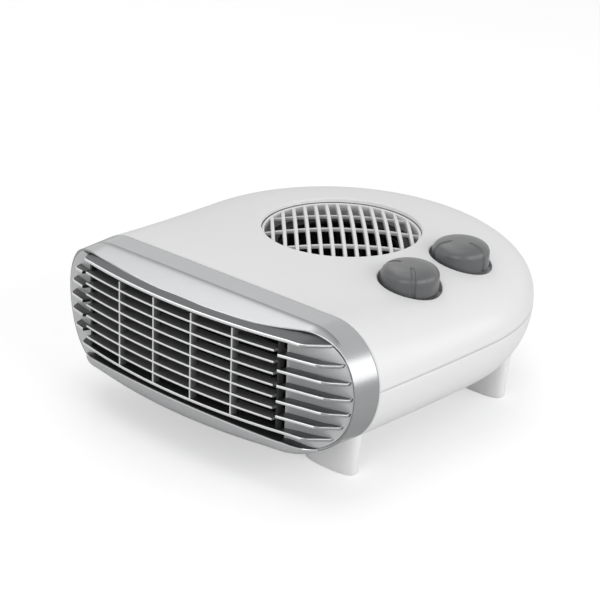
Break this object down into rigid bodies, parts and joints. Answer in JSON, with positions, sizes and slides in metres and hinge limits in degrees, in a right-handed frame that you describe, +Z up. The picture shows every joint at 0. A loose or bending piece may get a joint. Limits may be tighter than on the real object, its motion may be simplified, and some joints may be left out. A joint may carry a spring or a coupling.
{
  "type": "fan heater",
  "caption": "Flat portable fan heater with a horseshoe-shaped housing, a louvred front outlet in a metallic bezel, a round top intake, two rotary knobs and feet.",
  "frame": {"origin": "on the resting plane under the middle of the overall box, at the soles of the feet", "axes": "+Y towards the rounded rear, so the air outlet faces -Y; +X to the side of the knobs; +Z up"},
  "size_m": [0.234, 0.26, 0.1053],
  "materials": {
    "housing_white": "satin white moulded plastic",
    "bezel_silver": "silver lacquered plastic, satin",
    "louvre_silver": "silver lacquered plastic, satin",
    "duct_plastic": "dark heat-resistant moulding",
    "ceramic": "pale technical ceramic, matte",
    "fin_aluminium": "corrugated aluminium strip",
    "steel": "plated sheet and turned steel",
    "fan_plastic": "dark moulded plastic",
    "copper_winding": "enamelled copper winding",
    "bronze": "sintered bronze",
    "knob_grey": "dark grey satin moulding",
    "phenolic": "brown phenolic moulding",
    "inlet_rubber": "matte black rubber",
    "foot_grey": "pale grey moulding with a fine texture"
  },
  "bodies": {
    "housing": {"upper_housing": "housing_white", "lower_housing": "housing_white", "intake_guard": "housing_white", "front_bezel": "bezel_silver", "outlet_grille": "bezel_silver", "louvre_rack": "louvre_silver", "heater_frame": "duct_plastic", "ceramic_bars": "ceramic", "fin_packs": "fin_aluminium", "thermal_cutout": "steel", "thermal_fuse": "ceramic", "fan_scroll": "duct_plastic", "inlet_ring": "duct_plastic", "duct_screws": "steel", "motor_stator": "steel", "motor_coil": "copper_winding", "lower_bearing_bracket": "steel", "upper_bearing_bracket": "steel", "bearing_bushes": "bronze", "motor_screws": "steel", "thermostat_body": "phenolic", "selector_switch": "phenolic", "control_bracket": "steel", "bracket_screws": "steel", "terminal_block": "ceramic", "cord_inlet": "inlet_rubber", "housing_screws": "steel", "front_right_foot": "foot_grey", "front_left_foot": "foot_grey", "rear_right_foot": "foot_grey", "rear_left_foot": "foot_grey"},
    "fan": {"fan_wheel": "fan_plastic", "motor_shaft": "steel", "motor_rotor": "steel"},
    "thermostat_control": {"thermostat_knob": "knob_grey", "thermostat_spindle": "steel"},
    "selector_control": {"selector_knob": "knob_grey", "selector_spindle": "steel"}
  },
  "joints": [
    {"name": "fan_spin", "type": "hinge", "parent": "housing", "child": "fan", "pos_m": [0, 0.013, 0.06], "axis": [0, 0, 1], "continuous": true},
    {"name": "thermostat_turn", "type": "hinge", "parent": "housing", "child": "thermostat_control", "pos_m": [0.075, -0.016, 0.09], "axis": [0, 0, 1], "range_deg": [-270, 0]},
    {"name": "selector_turn", "type": "hinge", "parent": "housing", "child": "selector_control", "pos_m": [0.073, 0.034, 0.09], "axis": [0, 0, 1], "range_deg": [-180, 0]}
  ]
}
